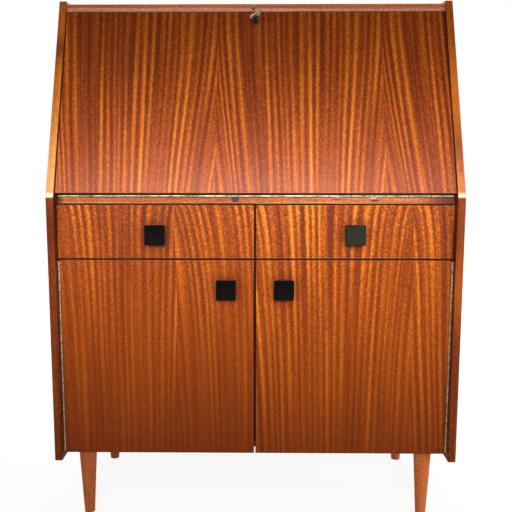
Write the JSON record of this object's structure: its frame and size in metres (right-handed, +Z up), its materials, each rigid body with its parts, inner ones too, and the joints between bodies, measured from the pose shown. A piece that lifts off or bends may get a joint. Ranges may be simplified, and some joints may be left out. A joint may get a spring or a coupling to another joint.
{
  "type": "secretary desk",
  "caption": "Bureau desk on turned legs with a sloping fall flap held by slotted stays, a letter rack, two drawers and a two-door cupboard.",
  "frame": {"origin": "on the floor, under the middle of the desk's whole box", "axes": "+X to the right seen from the front, +Y to the back, +Z up; the flap, doors and drawers face -Y"},
  "size_m": [0.88, 0.424, 1.156],
  "materials": {
    "sapele_veneer": "gloss lacquered ribbon-stripe veneer",
    "sapele_lipping": "gloss lacquered solid wood",
    "turned_leg": "satin lacquered solid wood",
    "black_plastic": "moulded, semi-gloss",
    "hardboard": "bare hardboard",
    "zinc_steel": "zinc plated",
    "brown_plastic": "moulded",
    "dark_bronze": "darkened brass",
    "beech": "bare sanded beech",
    "birch_ply": "bare plywood",
    "brass": "polished, slightly dull"
  },
  "bodies": {
    "carcass": {"side_left": "sapele_veneer", "side_right": "sapele_veneer", "side_lipping_left": "sapele_lipping", "side_lipping_right": "sapele_lipping", "top_board": "sapele_veneer", "desk_board": "sapele_veneer", "drawer_board": "sapele_veneer", "drawer_divider": "sapele_veneer", "bottom_board": "sapele_veneer", "back_panel": "hardboard", "cupboard_shelf": "sapele_veneer", "shelf_pins": "brass", "drawer_runners": "beech", "leg_front_left": "turned_leg", "leg_front_right": "turned_leg", "leg_back_left": "turned_leg", "leg_back_right": "turned_leg", "leg_plates": "zinc_steel", "leg_bolts": "zinc_steel", "rack_top": "sapele_veneer", "rack_ends": "sapele_veneer", "rack_dividers": "sapele_veneer", "flap_hinge_fixed": "brass", "flap_hinge_pin": "zinc_steel", "door_hinge_fixed_left": "brass", "door_hinge_fixed_right": "brass", "door_hinge_pins": "zinc_steel", "stay_studs": "brass", "door_catches": "brown_plastic", "strike_plate": "brass"},
    "flap": {"flap_board": "sapele_veneer", "flap_hinge_leaf": "brass", "lock_case": "brass", "escutcheon": "dark_bronze", "stay_brackets": "brass"},
    "bolt": {"lock_bolt": "brass"},
    "lock_key": {"key": "brass"},
    "left_stay": {"stay_left": "brass"},
    "right_stay": {"stay_right": "brass"},
    "left_door": {"door_left": "sapele_veneer", "door_left_leaf": "brass", "door_left_knob": "black_plastic", "door_left_keeper": "zinc_steel"},
    "right_door": {"door_right": "sapele_veneer", "door_right_leaf": "brass", "door_right_knob": "black_plastic", "door_right_keeper": "zinc_steel"},
    "left_drawer": {"left_drawer_front": "sapele_veneer", "left_drawer_sides": "beech", "left_drawer_back": "beech", "left_drawer_bottom": "birch_ply", "left_drawer_knob": "black_plastic"},
    "right_drawer": {"right_drawer_front": "sapele_veneer", "right_drawer_sides": "beech", "right_drawer_back": "beech", "right_drawer_bottom": "birch_ply", "right_drawer_knob": "black_plastic"}
  },
  "joints": [
    {"name": "flap_fall", "type": "hinge", "parent": "carcass", "child": "flap", "pos_m": [0, -0.18338, 0.728], "axis": [1, 0, 0], "range_deg": [0, 111.73]},
    {"name": "left_stay_swing", "type": "hinge", "parent": "flap", "child": "left_stay", "pos_m": [-0.414, -0.10815, 0.89108], "axis": [1, 0, 0], "range_deg": [-67.1, 0]},
    {"name": "right_stay_swing", "type": "hinge", "parent": "flap", "child": "right_stay", "pos_m": [0.414, -0.10815, 0.89108], "axis": [1, 0, 0], "range_deg": [-67.1, 0]},
    {"name": "key_turn", "type": "hinge", "parent": "flap", "child": "lock_key", "pos_m": [0, -0.04809, 1.11064], "axis": [0, 0.9289, -0.3703], "range_deg": [0, 90]},
    {"name": "bolt_slide", "type": "slide", "parent": "flap", "child": "bolt", "axis": [0, 0.3703, 0.9289], "range_m": [0, 0.0101]},
    {"name": "left_door_swing", "type": "hinge", "parent": "carcass", "child": "left_door", "pos_m": [-0.42205, -0.1899, 0.161], "axis": [0, 0, -1], "range_deg": [0, 95]},
    {"name": "right_door_swing", "type": "hinge", "parent": "carcass", "child": "right_door", "pos_m": [0.42205, -0.1899, 0.161], "axis": [0, 0, 1], "range_deg": [0, 95]},
    {"name": "left_drawer_slide", "type": "slide", "parent": "carcass", "child": "left_drawer", "axis": [0, -1, 0], "range_m": [0, 0.26]},
    {"name": "right_drawer_slide", "type": "slide", "parent": "carcass", "child": "right_drawer", "axis": [0, -1, 0], "range_m": [0, 0.26]}
  ],
  "couplings": [
    {"joint": "left_stay_swing", "follows": "flap_fall", "ratio": -0.59878},
    {"joint": "right_stay_swing", "follows": "flap_fall", "ratio": -0.59878},
    {"joint": "bolt_slide", "follows": "key_turn", "m_per_rad": 0.0063662}
  ]
}
